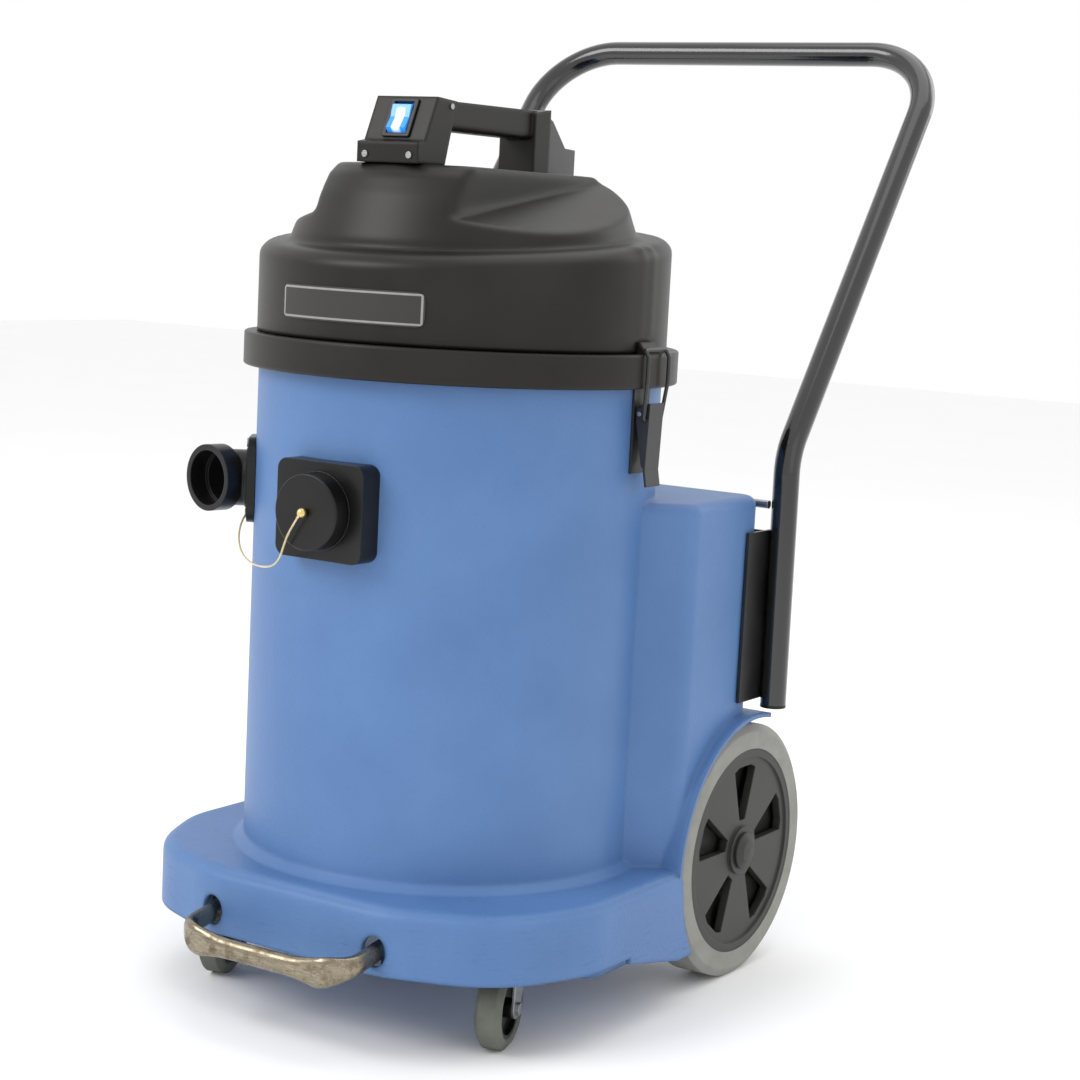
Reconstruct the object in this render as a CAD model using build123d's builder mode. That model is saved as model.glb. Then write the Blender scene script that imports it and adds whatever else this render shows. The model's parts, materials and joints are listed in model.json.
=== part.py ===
from build123d import *
from math import cos, pi, radians, sin, sqrt, tan
import os

os.makedirs("parts", exist_ok=True)

# Commercial wet vacuum cleaner, in millimetres, +Z up, standing on its wheels at z = 0.
# The machine faces -Y. Left (-X) and right (+X) are as seen from in front.
# The origin is below the middle of the whole machine, so the drum's axis stands at drum_y.

# ---- driving dimensions -------------------------------------------------------------

wall = 4.5                 # rotomoulded tank wall
gap = 0.4                  # free gap between bodies that pass each other
fit = 0.05                 # radial running clearance on a shaft

# tank
drum_r = 187.2
drum_top = 602.0
drum_floor = 101.0         # underside of the drum's bottom
deck_top = 133.0
deck_bottom = 72.0
deck_half_width = 236.0
deck_front = 223.0
sump_bottom = 48.0
sump_front = 50.0
sump_rear = 54.0
sump_half_width = 205.0
deck_corner_side = 38.0    # how far the deck's front corner is cut back from the side and the front
deck_corner_front = 39.0
deck_corner_r = 110.0
deck_nose = 136.0
deck_side_front = -96.0    # where the straight sides begin
box_top = 474.0
box_rear = 203.0
box_half_width = 224.0
box_front = 66.0

# rear wheels
wheel_r = 125.0
wheel_face = 227.7         # outer face from the middle plane
wheel_width = 47.0
wheel_disc_r = 100.6
wheel_window_count = 5
axle_r = 10.0
axle_dy = 193.8            # axle behind the drum's axis
hub_r = 24.0
arch_gap = 8.0             # wheel arch to tyre
arch_face = 234.0
arch_end = 221.0          # where the arch ends behind the drum's axis

# casters
caster_r = 37.5
caster_width = 25.0
caster_trail = 20.0
caster_rim_r = 27.0
caster_yaw = 16.0          # how far the wheels stand turned at rest, in degrees
caster_x = 159.0
caster_dy = -113.0
fork_sheet = 2.5

# head
band_r = 201.4
band_bottom = 580.6
band_top = 611.0
band_wall = 5.0
seal_height = 4.0
head_r = 190.0
head_top = 767.0
head_wall = 4.0
shoulder_front = 688.0     # height of the shoulder's edge at the front
shoulder_rear = 722.0
crown_base_r = 162.0
crown_top_r = 140.0
spine_half_width = 75.0
slope_height = 744.0       # top of the slopes beside the spine, level with the drum's axis
slope_fall_out = 0.28      # fall per unit outwards, and per unit to the front
slope_fall_front = 0.168
shoulder_chamfer = 9.0

# carry handle and switch box on the head
grip_top = 826.0
grip_height = 27.0
grip_width = 32.0
box_width = 66.0           # switch box
handle_front = -78.0
post_front = 75.0
post_depth = 26.0
switch_width = 21.0
switch_height = 29.0

# motors
motor_x = 86.0
motor_can_r = 46.0
fan_case_r = 70.0
fan_case_height = 42.0
motor_can_height = 74.0
motor_sheet = 3.0
shaft_r = 5.0
throat_r = 20.0            # air intake of each motor
armature_r = 26.0
impeller_gap = 8.0         # impeller to the fan case
cage_r = 32.0              # float cage
cage_wall = 3.0
cage_height = 84.0
cage_floor = 4.0
float_r = 26.0

# ports
port_height = 465.0
port_plate_width = 94.0
port_plate_height = 86.0
port_plate_out = 205.0     # front face of the port's plate, from the drum's axis
neck_r = 29.0
neck_wall = 3.0
neck_out = 214.0
cap_r = 33.5
cap_out = 224.0
cap_wall = 3.0
ball_r = 4.5
tether_r = 0.9
crimp_r = 1.4              # the rivet's stub that holds the tether
crimp_length = 4.0
inlet_height = 472.0
inlet_plate_out = 193.0
inlet_plate_width = 62.0
inlet_plate_height = 80.0
inlet_angle = 55.0         # inlet direction, from the front towards the left
inlet_turn = 44.0          # how far the elbow turns back towards the front
hose_bore_r = 25.5
hose_socket_depth = 18.0
socket_r = 31.0
elbow_r = 26.3
elbow_bore_r = 23.0
elbow_corner_out = 215.0   # where the elbow's centre line turns, from the drum's axis
elbow_reach = 22.0         # from that corner to the mouth

# latches
latch_dy = 13.0
latch_pivot_z = 558.0
latch_width = 26.0
latch_pin_r = 2.0
latch_plate_top = 580.0
latch_plate_bottom = 504.0
bail_width = 36.0
bail_top_z = 615.5
bail_top_x = 200.5
wire_r = 1.8
wire_bend_r = 2.8          # tightest bend of the wire's middle line, more than its own radius

# push handle
tube_r = 12.7
tube_wall = 2.0
handle_x = 237.2
handle_foot_z = 270.0
handle_bend_z = 515.0
handle_top_z = 916.7
handle_foot_dy = 216.7
handle_bend_dy = 213.5
handle_top_dy = 506.3
handle_corner_r = 80.0
handle_bend_r = 60.0

# tipping bar at the front
bar_x = 91.0
bar_reach = 268.0
bar_half_height = 10.0
bar_half_depth = 7.0
bar_leg_z = 93.0
bar_front_z = 80.0

# ---- derived places -----------------------------------------------------------------

caster_height = drum_floor   # the casters' plates sit level with the drum's floor
rear_reach = handle_top_dy + tube_r
front_reach = bar_reach + bar_half_depth
drum_y = (front_reach - rear_reach) / 2
axle_y = drum_y + axle_dy
well_r = wheel_r + arch_gap
sump_mid = (sump_rear - sump_front) / 2
sump_depth = sump_rear + sump_front
well_inner = wheel_face - wheel_width - 8
band_inner_r = band_r - band_wall
cover_bottom = band_top
seal_top = drum_top + seal_height


def level(z):
    """Horizontal plane at height z, centred on the drum's axis."""
    return Plane(origin=(0, drum_y, z))


def side(x):
    """Upright plane facing +X: local x runs rearwards from the drum's axis, local y is up."""
    return Plane(origin=(x, drum_y, 0), x_dir=(0, 1, 0), z_dir=(1, 0, 0))


def facing(dy):
    """Upright plane facing -Y, dy behind the drum's axis: local x is +X, local y is up."""
    return Plane(origin=(0, drum_y + dy, 0), x_dir=(1, 0, 0), z_dir=(0, -1, 0))


def radial(angle, z, r=0.0):
    """Upright plane facing away from the drum's axis, angle degrees left of the front."""
    out = Vector(-sin(radians(angle)), -cos(radians(angle)), 0)
    return Plane(origin=Vector(0, drum_y, z) + out * r, x_dir=(cos(radians(angle)), -sin(radians(angle)), 0),
                 z_dir=out)


def finish(piece, label):
    """Name a finished piece and write it."""
    piece.part.label = label
    export_step(piece.part, f"parts/{label}.step")


sides = (("left", -1), ("right", 1))

# ---- tank moulding ------------------------------------------------------------------


def deck_solid(inset, bottom, top):
    """The deck's plan, inset from its outer face, between two heights."""
    half = deck_half_width - inset
    front = -deck_front + inset
    with BuildPart() as deck:
        with BuildSketch(level(bottom)):
            with BuildLine():
                Polyline((-half, box_rear - inset), (-half, deck_side_front),
                         (-half + deck_corner_side, front + deck_corner_front), (-half + deck_nose, front),
                         (half - deck_nose, front), (half - deck_corner_side, front + deck_corner_front),
                         (half, deck_side_front), (half, box_rear - inset), close=True)
            make_face()
        extrude(amount=top - bottom)
        corners = deck.edges().filter_by(Axis.Z).group_by(Axis.Y)
        fillet([edge for row in corners[:-1] for edge in row], deck_corner_r - inset)
    return deck.part


def box_solid(inset, bottom, top):
    """The rear box behind the drum, inset from its outer face."""
    half = box_half_width - inset
    with BuildPart() as box:
        with BuildSketch(level(bottom)):
            with BuildLine():
                Polyline((-half + 44, 30), (-half, box_front + inset), (-half + 5, box_rear - inset),
                         (half - 5, box_rear - inset), (half, box_front + inset), (half - 44, 30), close=True)
            make_face()
        extrude(amount=top - bottom)
        rear_edges = box.edges().filter_by(Axis.Z).filter_by_position(Axis.Y, drum_y + 50, drum_y + 300)
        fillet(rear_edges, 20 - inset)
        fillet(box.faces().sort_by(Axis.Z)[-1].edges(), 10 - inset)
    return box.part


def well_solid(x_inner, r, x_outer=300.0):
    """The round space of both rear wheels."""
    with BuildPart() as wells:
        for direction in (-1, 1):
            with BuildSketch(side(direction * x_inner)):
                with Locations((axle_dy, wheel_r)):
                    Circle(r)
            extrude(amount=direction * (x_outer - x_inner))
    return wells.part


deck_outer = deck_solid(0, deck_bottom, deck_top)
deck_hollow = deck_solid(wall, 0, deck_top - wall)
rear_box = box_solid(0, deck_top - wall, box_top)
box_hollow = box_solid(wall, deck_bottom - 30, box_top - wall)
wheel_wells = well_solid(well_inner, well_r)
with BuildPart() as arches:
    add(well_solid(well_inner - wall, well_r + wall, arch_face))
    with BuildSketch(level(deck_bottom - 12)):
        Rectangle(600, 2 * arch_end)
    extrude(amount=box_top, mode=Mode.INTERSECT)
caster_spots = [(direction * caster_x, caster_dy) for direction in (-1, 1)]

with BuildPart() as tank:
    # deck with a rounded edge, open underneath
    add(deck_outer)
    fillet(tank.faces().sort_by(Axis.Z)[-1].edges().filter_by_position(Axis.Y, -400, drum_y + 190), 13)
    # slanting lower edge of the skirt, deeper towards the wheels
    with BuildSketch(side(-deck_half_width)):
        with BuildLine():
            Polyline((-30, deck_bottom + 1), (-30, deck_bottom - 6), (box_front - 8, sump_bottom),
                     (box_front + 20, sump_bottom), (box_front + 20, deck_bottom + 1), close=True)
        make_face()
    extrude(amount=2 * deck_half_width)
    add(deck_hollow, mode=Mode.SUBTRACT)
    # rear box, open underneath
    add(rear_box)
    add(box_hollow, mode=Mode.SUBTRACT)
    # drum, with its weld bead at the deck
    with BuildSketch(level(drum_floor)):
        Circle(drum_r)
    extrude(amount=drum_top - drum_floor)
    with BuildSketch(side(0)):
        with BuildLine():
            Polyline((drum_r - 2, deck_top - 2), (drum_r + 9, deck_top - 2), (drum_r + 9, deck_top),
                     (drum_r - 2, deck_top + 9), close=True)
        make_face()
    revolve(axis=Axis((0, drum_y, 0), (0, 0, 1)))
    # sump across the bottom, between the casters and the axle
    with BuildSketch(level(sump_bottom)):
        with Locations((0, sump_mid)):
            RectangleRounded(2 * sump_half_width, sump_depth, 24)
    extrude(amount=drum_floor - sump_bottom + wall)
    add(arches.part)
    add(wheel_wells, mode=Mode.SUBTRACT)
    # what lies below the deck behind the wheels' arches is open
    with BuildSketch(level(0)):
        with Locations((0, box_rear + 60)):
            Rectangle(600, 120 - 2 * wall)
    extrude(amount=wheel_r, mode=Mode.SUBTRACT)
    # caster bosses
    with BuildSketch(level(caster_height)):
        with Locations(*caster_spots):
            RectangleRounded(60, 54, 8)
    extrude(amount=deck_top - wall - caster_height)
    # the inside of the drum and of the sump
    with BuildSketch(level(drum_floor + wall)):
        Circle(drum_r - wall)
    extrude(amount=drum_top, mode=Mode.SUBTRACT)
    with BuildSketch(level(sump_bottom + wall)):
        with Locations((0, sump_mid)):
            RectangleRounded(2 * (sump_half_width - wall), sump_depth - 2 * wall, 20)
        Circle(drum_r - wall - 3, mode=Mode.INTERSECT)
    extrude(amount=drum_floor, mode=Mode.SUBTRACT)
    # openings for the ports
    with BuildSketch(radial(0, port_height)):
        Circle(neck_r)
    extrude(amount=drum_r + 40, mode=Mode.SUBTRACT)
    with BuildSketch(radial(inlet_angle, inlet_height)):
        Circle(elbow_r + gap)
    extrude(amount=drum_r + 40, mode=Mode.SUBTRACT)
    # axle and tipping bar holes
    with BuildSketch(side(-arch_face)):
        with Locations((axle_dy, wheel_r)):
            Circle(axle_r)
    extrude(amount=2 * arch_face, mode=Mode.SUBTRACT)
    with BuildSketch(facing(-deck_front - 1)):
        with Locations((-bar_x, bar_leg_z), (bar_x, bar_leg_z)):
            Ellipse(12, 14)
    extrude(amount=-wall - 3, mode=Mode.SUBTRACT)
finish(tank, "tank")

with BuildPart() as rim_seal:
    with BuildSketch(level(drum_top)):
        Circle(drum_r - 0.5)
        Circle(drum_r - wall - 3, mode=Mode.SUBTRACT)
    extrude(amount=seal_height)
finish(rim_seal, "rim_seal")

# ---- capped port at the front -------------------------------------------------------

port = radial(0, port_height)


def drum_pad(plane, width, height, corner, face_out, hole_r):
    """A plate with a flat face and a back that follows the drum."""
    with BuildPart() as pad:
        with BuildSketch(plane):
            RectangleRounded(width, height, corner)
            Circle(hole_r, mode=Mode.SUBTRACT)
        extrude(amount=face_out)
        with BuildSketch(level(drum_floor)):
            Circle(drum_r)
        extrude(amount=drum_top - drum_floor, mode=Mode.SUBTRACT)
    return pad


port_plate = drum_pad(port, port_plate_width, port_plate_height, 10, port_plate_out, neck_r)
finish(port_plate, "port_plate")

with BuildPart() as port_neck:
    with BuildSketch(radial(0, port_height, drum_r - wall - 6)):
        Circle(neck_r)
    extrude(amount=neck_out - drum_r + wall + 6)
    with BuildSketch(radial(0, port_height, port_plate_out)):
        Circle(neck_r + 6)
    extrude(amount=2)
    with BuildSketch(radial(0, port_height, drum_r - wall - 6)):
        Circle(neck_r - neck_wall)
    extrude(amount=neck_out, mode=Mode.SUBTRACT)
    with BuildSketch(radial(0, port_height, 0)):
        Circle(neck_r - neck_wall)
    extrude(amount=cap_out, mode=Mode.SUBTRACT)
finish(port_neck, "port_neck")

with BuildPart() as port_cap:
    with BuildSketch(radial(0, port_height, port_plate_out + 2 + gap)):
        Circle(cap_r)
    extrude(amount=cap_out - port_plate_out - 2 - gap)
    fillet(port_cap.faces().sort_by(Axis.Y)[0].edges(), 1.5)
    with BuildSketch(radial(0, port_height, port_plate_out)):
        Circle(neck_r + gap)
    extrude(amount=cap_out - cap_wall - port_plate_out, mode=Mode.SUBTRACT)
    # plug inside the neck
    with BuildSketch(radial(0, port_height, drum_r)):
        Circle(neck_r - neck_wall - gap)
        Circle(neck_r - 2 * neck_wall - gap, mode=Mode.SUBTRACT)
    extrude(amount=cap_out - drum_r - cap_wall)
finish(port_cap, "port_cap")

# tether from the cap's rivet to the lower screw of the inlet: (left of the front in degrees,
# distance from the drum's axis, height)
tether_stops = [(0.6, 231, 460.4), (2.8, 231, 448), (4.6, 229.5, 434), (6.8, 224.5, 422), (11, 218, 412),
                (18, 212, 407.5), (26.5, 207, 407), (35, 204, 410.5), (43, 202, 418), (48, 200, 427.5),
                (51.2, 196.8, 435.5), (53.58, 194.62, 438.5)]


def tether_point(angle, out, z):
    """Point at a height and a distance from the drum's axis, angle degrees left of the front."""
    return (-out * sin(radians(angle)), drum_y - out * cos(radians(angle)), z)


def largest_radii(points):
    """The largest arc at each corner of a route: 0.45 of the shorter run over tan of half the turn."""
    vectors = [Vector(*p) for p in points]
    radii = []
    for before, here, after in zip(vectors, vectors[1:], vectors[2:]):
        turn = (here - before).get_angle(after - here)
        radii.append(0.45 * min((here - before).length, (after - here).length) / tan(radians(turn / 2)))
    return radii


tether_points = [tether_point(*stop) for stop in tether_stops]
tether_radii = largest_radii(tether_points)
with BuildPart() as cap_tether:
    with BuildLine():
        tether_line = FilletPolyline(*tether_points, radius=tether_radii)
    with BuildSketch(Plane(origin=tether_line @ 0, z_dir=tether_line % 0)):
        Circle(tether_r)
    sweep()
finish(cap_tether, "cap_tether")
print("tether radii", [round(r, 1) for r in tether_radii])
print("tether length", round(tether_line.length, 1), "volume ratio",
      round(cap_tether.part.volume / (pi * tether_r ** 2 * tether_line.length), 4))

with BuildPart() as cap_rivet:
    with Locations((0, drum_y - cap_out - ball_r + 0.5, port_height)):
        Sphere(ball_r)
    split(bisect_by=Plane(origin=(0, drum_y - cap_out, 0), z_dir=(0, -1, 0)), keep=Keep.TOP)
    with BuildSketch(Plane(origin=tether_line @ 0, z_dir=-(tether_line % 0))):
        Circle(crimp_r)
    extrude(amount=crimp_length)
finish(cap_rivet, "cap_rivet")

# ---- inlet on the left --------------------------------------------------------------

inlet_plate = drum_pad(radial(inlet_angle, inlet_height), inlet_plate_width, inlet_plate_height, 18,
                       inlet_plate_out, elbow_r)
finish(inlet_plate, "inlet_plate")

with BuildPart() as inlet_screws:
    for rise in (-1, 1):
        z = inlet_height + rise * (inlet_plate_height / 2 - 7)
        with BuildSketch(radial(inlet_angle, z, inlet_plate_out)):
            Circle(4.5)
        extrude(amount=3)
finish(inlet_screws, "inlet_screws")

inlet_plane = radial(inlet_angle, inlet_height)
elbow_start = inlet_plane.origin + inlet_plane.z_dir * (drum_r - wall - 8)
elbow_corner = inlet_plane.origin + inlet_plane.z_dir * elbow_corner_out
mouth_angle = inlet_angle - inlet_turn
mouth_dir = Vector(-sin(radians(mouth_angle)), -cos(radians(mouth_angle)), 0)
mouth = elbow_corner + mouth_dir * elbow_reach
mouth_plane = Plane(origin=mouth, z_dir=mouth_dir)
socket_back = mouth_plane.offset(-hose_socket_depth)
print("mouth", mouth, "direction", mouth_dir)


def elbow_tube(r):
    """The elbow's bent length as a solid rod of radius r."""
    with BuildPart() as rod:
        with BuildLine():
            FilletPolyline(elbow_start, elbow_corner, mouth, radius=38)
        with BuildSketch(Plane(origin=elbow_start, z_dir=inlet_plane.z_dir)):
            Circle(r)
        sweep()
    return rod.part


elbow_outside = elbow_tube(elbow_r)
elbow_inside = elbow_tube(elbow_bore_r)
with BuildPart() as inlet_elbow:
    add(elbow_outside)
    with BuildSketch(socket_back):
        Circle(socket_r)
    extrude(amount=hose_socket_depth)
    with BuildSketch(socket_back):
        Circle(socket_r)
    with BuildSketch(socket_back.offset(-6)):
        Circle(elbow_r)
    loft()
    with BuildSketch(Plane(origin=inlet_plane.origin + inlet_plane.z_dir * inlet_plate_out,
                           z_dir=inlet_plane.z_dir)):
        Circle(elbow_r + 1.5)
    extrude(amount=3)
    add(elbow_inside, mode=Mode.SUBTRACT)
    with BuildSketch(socket_back):
        Circle(hose_bore_r)
    extrude(amount=hose_socket_depth + 1, mode=Mode.SUBTRACT)
finish(inlet_elbow, "inlet_elbow")

# ---- head: motor plate with its band, cover, motors, floats --------------------------

motor_spots = [(direction * motor_x, 0) for direction in (-1, 1)]
with BuildPart() as motor_plate:
    with BuildSketch(level(band_bottom)):
        Circle(band_r)
    extrude(amount=band_top - band_bottom)
    fillet(motor_plate.edges().filter_by(GeomType.CIRCLE), 2)
    with BuildSketch(level(band_bottom)):
        Circle(band_inner_r)
    extrude(amount=seal_top - band_bottom, mode=Mode.SUBTRACT)
    with BuildSketch(level(band_bottom)):
        with Locations(*motor_spots):
            Circle(throat_r)
    extrude(amount=band_top, mode=Mode.SUBTRACT)
    # keepers that the latch bails hook over
    for direction in (-1, 1):
        with BuildSketch(facing(latch_dy + bail_width / 2 - 5)):
            with BuildLine():
                Polyline((direction * (head_r - 2), band_top - 1), (direction * (band_r - 1.5), band_top - 1),
                         (direction * (band_r - 1.5), band_top), (direction * (head_r + 1.5), bail_top_z + 6),
                         (direction * (head_r - 2), bail_top_z + 6), close=True)
            make_face()
        extrude(amount=bail_width - 10)
finish(motor_plate, "motor_plate")


def spine_slope(inset, direction):
    """The space above the slope beside the spine, which falls outwards and to the front."""
    inner_x = direction * (spine_half_width - inset)
    with BuildPart() as slope:
        with BuildSketch(Plane(origin=(inner_x, drum_y, slope_height - inset),
                               z_dir=(direction * slope_fall_out, -slope_fall_front, 1))):
            Rectangle(4 * head_r, 4 * head_r)
        extrude(amount=head_r)
        with BuildSketch(side(inner_x)):
            Rectangle(5 * head_r, 10 * head_r)
        extrude(amount=direction * head_r, mode=Mode.INTERSECT)
    return slope.part


def cover_solid(inset, bottom):
    """The head cover's outer shape, inset from its outer face."""
    with BuildPart() as crown:
        with BuildSketch(side(0)):
            with BuildLine():
                Polyline((0, bottom), (crown_base_r - inset, bottom), (crown_base_r - inset, 700),
                         (crown_top_r + 8 - inset, head_top - 28),
                         (crown_top_r - 2 - inset, head_top - 10 - inset),
                         (crown_top_r - 14 - inset, head_top - inset), (0, head_top - inset), close=True)
            make_face()
        revolve(axis=Axis((0, drum_y, 0), (0, 0, 1)))
        for direction in (-1, 1):
            add(spine_slope(inset, direction), mode=Mode.SUBTRACT)
    with BuildPart() as body:
        with BuildSketch(level(bottom)):
            Circle(head_r - inset)
        extrude(amount=shoulder_rear + 30 - bottom)
        # the shoulder rises to the rear
        with BuildSketch(side(-head_r)):
            with BuildLine():
                Polyline((-head_r, shoulder_front - inset), (head_r, shoulder_rear - inset), (head_r, head_top),
                         (-head_r, head_top), close=True)
            make_face()
        extrude(amount=2 * head_r, mode=Mode.SUBTRACT)
        chamfer(body.faces().sort_by(Axis.Z)[-1].edges(), shoulder_chamfer)
        add(crown.part)
    return body.part


cover_outside = cover_solid(0, cover_bottom)
cover_inside = cover_solid(head_wall, cover_bottom - 5)
with BuildPart() as head_cover:
    add(cover_outside)
    add(cover_inside, mode=Mode.SUBTRACT)
    # clearance for the keepers, and two upright ribs above each latch
    for direction in (-1, 1):
        for rise in (-9, 9):
            with BuildSketch(level(cover_bottom + 14)):
                with Locations((direction * (head_r - 1.5), latch_dy + rise)):
                    Rectangle(6, 4)
            extrude(amount=84)
    with BuildSketch(level(cover_bottom)):
        for direction in (-1, 1):
            with Locations((direction * head_r, latch_dy)):
                Rectangle(5, bail_width - 8)
    extrude(amount=bail_top_z + 7 - cover_bottom, mode=Mode.SUBTRACT)
finish(head_cover, "head_cover")

for label, direction in sides:
    motor_centre = (direction * motor_x, 0)
    cage_bottom = seal_top - cage_height
    can_bottom = band_top + fan_case_height

    with BuildPart() as motor_case:
        with BuildSketch(level(band_top)):
            with Locations(motor_centre):
                Circle(fan_case_r)
        extrude(amount=fan_case_height)
        with BuildSketch(level(can_bottom)):
            with Locations(motor_centre):
                Circle(motor_can_r)
        extrude(amount=motor_can_height - 10)
        with BuildSketch(level(band_top + motor_sheet)):
            with Locations(motor_centre):
                Circle(fan_case_r - motor_sheet)
        extrude(amount=fan_case_height - 2 * motor_sheet, mode=Mode.SUBTRACT)
        with BuildSketch(level(can_bottom)):
            with Locations(motor_centre):
                Circle(motor_can_r - motor_sheet)
        extrude(amount=motor_can_height - 10 - motor_sheet, mode=Mode.SUBTRACT)
        with BuildSketch(level(band_top)):
            with Locations(motor_centre):
                Circle(throat_r)
        extrude(amount=motor_sheet, mode=Mode.SUBTRACT)
        # bearing holes for the shaft
        with BuildSketch(level(band_top)):
            with Locations(motor_centre):
                Circle(shaft_r + fit)
        extrude(amount=fan_case_height + motor_can_height, mode=Mode.SUBTRACT)
    finish(motor_case, f"motor_case_{label}")

    with BuildPart() as motor_rotor:
        with BuildSketch(level(band_top + 8)):
            with Locations(motor_centre):
                Circle(shaft_r)
        extrude(amount=fan_case_height + motor_can_height - 20)
        # impeller: two discs with blades between them
        for disc_rise in (9, 26):
            with BuildSketch(level(band_top + disc_rise)):
                with Locations(motor_centre):
                    Circle(fan_case_r - impeller_gap)
            extrude(amount=3)
        with BuildSketch(level(band_top + 12)):
            with Locations(motor_centre):
                with PolarLocations(30, 9):
                    Rectangle(44, 2.5)
                Circle(2 * shaft_r)
        extrude(amount=14)
        with BuildSketch(level(can_bottom + 6)):
            with Locations(motor_centre):
                Circle(armature_r)
        extrude(amount=motor_can_height - 30)
    finish(motor_rotor, f"motor_rotor_{label}")

    with BuildPart() as float_cage:
        with BuildSketch(level(cage_bottom)):
            with Locations(motor_centre):
                Circle(cage_r)
        extrude(amount=cage_height)
        # flange under the motor plate
        with BuildSketch(level(seal_top - cage_floor)):
            with Locations(motor_centre):
                Circle(cage_r + 8)
        extrude(amount=cage_floor)
        with BuildSketch(level(cage_bottom + cage_floor)):
            with Locations(motor_centre):
                Circle(cage_r - cage_wall)
        extrude(amount=cage_height, mode=Mode.SUBTRACT)
        # slots in the side and holes in the floor
        with BuildSketch(level(cage_bottom + 12)):
            with Locations(motor_centre):
                with PolarLocations(cage_r - 2, 6):
                    Rectangle(12, 18)
        extrude(amount=cage_height - 30, mode=Mode.SUBTRACT)
        with BuildSketch(level(cage_bottom)):
            with Locations(motor_centre):
                with PolarLocations(14, 6):
                    Circle(5)
        extrude(amount=cage_floor, mode=Mode.SUBTRACT)
    finish(float_cage, f"float_cage_{label}")

    with BuildPart() as float_ball:
        with Locations((direction * motor_x, drum_y, cage_bottom + cage_floor + gap + float_r)):
            Sphere(float_r)
    finish(float_ball, f"float_ball_{label}")

# ---- switch box and carry handle ----------------------------------------------------

slant_foot = (-118.0, 787.0)     # foot and top of the slanting face: distance behind the axis, height
slant_top = (-101.0, grip_top)
slant_back_foot = (-87.0, head_top)
slant_back_top = (-72.0, grip_top - 2)
slant = sqrt((slant_top[0] - slant_foot[0]) ** 2 + (slant_top[1] - slant_foot[1]) ** 2)
slant_up = Vector(0, (slant_top[0] - slant_foot[0]) / slant, (slant_top[1] - slant_foot[1]) / slant)
slant_out = Vector(0, -slant_up.Z, slant_up.Y)
switch_centre = Vector(0, drum_y + (slant_foot[0] + slant_top[0]) / 2, (slant_foot[1] + slant_top[1]) / 2)
switch_plane = Plane(origin=switch_centre, x_dir=(1, 0, 0), z_dir=slant_out)

with BuildPart() as switch_box:
    with BuildSketch(side(-box_width / 2)):
        with BuildLine():
            Polyline((-128, head_top), (-128, 785), slant_foot, slant_top, slant_back_top, slant_back_foot,
                     close=True)
        make_face()
    extrude(amount=box_width)
    with BuildSketch(side(-box_width / 2 + 3)):
        with BuildLine():
            Polyline((-124.5, head_top), (-124.5, 782), (-114, 784), (-98.5, grip_top - 3.5),
                     (-75.5, grip_top - 5.5), (-90.5, head_top), close=True)
        make_face()
    extrude(amount=box_width - 6, mode=Mode.SUBTRACT)
    with BuildSketch(switch_plane.offset(-6)):
        Rectangle(switch_width + 1, switch_height + 3)
    extrude(amount=10, mode=Mode.SUBTRACT)
finish(switch_box, "switch_box")

rocker_r = 14.6
rocker_back = 6.5           # hinge to the rocker's back: clears the pocket's floor at full tilt
with BuildPart() as switch_bezel:
    with BuildSketch(switch_plane.offset(gap / 4)):
        RectangleRounded(switch_width + 9, switch_height + 8, 2)
        Rectangle(switch_width, switch_height + 1.4, mode=Mode.SUBTRACT)
    extrude(amount=2)
    # the switch's body behind it
    with BuildSketch(switch_plane.offset(-17)):
        Rectangle(switch_width + 0.8, switch_height + 2.8)
    extrude(amount=17 + gap / 4)
    with BuildSketch(switch_plane.offset(-14)):
        Rectangle(switch_width, switch_height + 1.4)
    extrude(amount=20, mode=Mode.SUBTRACT)
finish(switch_bezel, "switch_bezel")

rocker_hinge = switch_centre - slant_out * 5
with BuildPart() as switch_rocker:
    rocker_side = Plane(origin=rocker_hinge, x_dir=slant_up, z_dir=(1, 0, 0))
    with BuildSketch(rocker_side.offset(-switch_width / 2 + 0.4)):
        Circle(rocker_r)
        with BuildLine():
            Polyline((-rocker_r, -rocker_back), (rocker_r, -rocker_back), (rocker_r, 10), (0, 7.5),
                     (-rocker_r, 10), close=True)
        make_face(mode=Mode.INTERSECT)
    extrude(amount=switch_width - 0.8)
finish(switch_rocker, "switch_rocker")

with BuildPart() as carry_handle:
    with BuildSketch(side(-grip_width / 2)):
        with BuildLine():
            Polyline((-78.2, grip_top - grip_height), (post_front, grip_top - grip_height),
                     (post_front + 8, grip_top - grip_height), (post_front + 8, grip_top), (-71.6, grip_top - 1),
                     close=True)
        make_face()
    extrude(amount=grip_width)
    fillet(carry_handle.edges().filter_by(Axis.Y), 6)
    with BuildSketch(side(-20)):
        with BuildLine():
            Polyline((post_front, head_top), (post_front, grip_top - 2), (post_front + post_depth, grip_top + 2),
                     (post_front + post_depth, head_top), close=True)
        make_face()
    extrude(amount=40)
finish(carry_handle, "carry_handle")

with BuildPart() as cord_entry:
    entry_front = post_front + post_depth
    with BuildSketch(side(-17)):
        with BuildLine():
            Polyline((entry_front, head_top), (entry_front, grip_top - 4), (entry_front + 9, grip_top - 8),
                     (entry_front + 32, head_top + 27), (entry_front + 50, head_top + 26),
                     (entry_front + 50, head_top), close=True)
        make_face()
    extrude(amount=34)
    fillet(cord_entry.edges().filter_by(Axis.X).group_by(Axis.Z)[-1], 2)
finish(cord_entry, "cord_entry")

with BuildPart() as cord_gland:
    with BuildSketch(facing(entry_front + 50)):
        with Locations((0, head_top + 13)):
            Circle(8)
            Circle(4.5, mode=Mode.SUBTRACT)
    extrude(amount=-9)
finish(cord_gland, "cord_gland")

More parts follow.
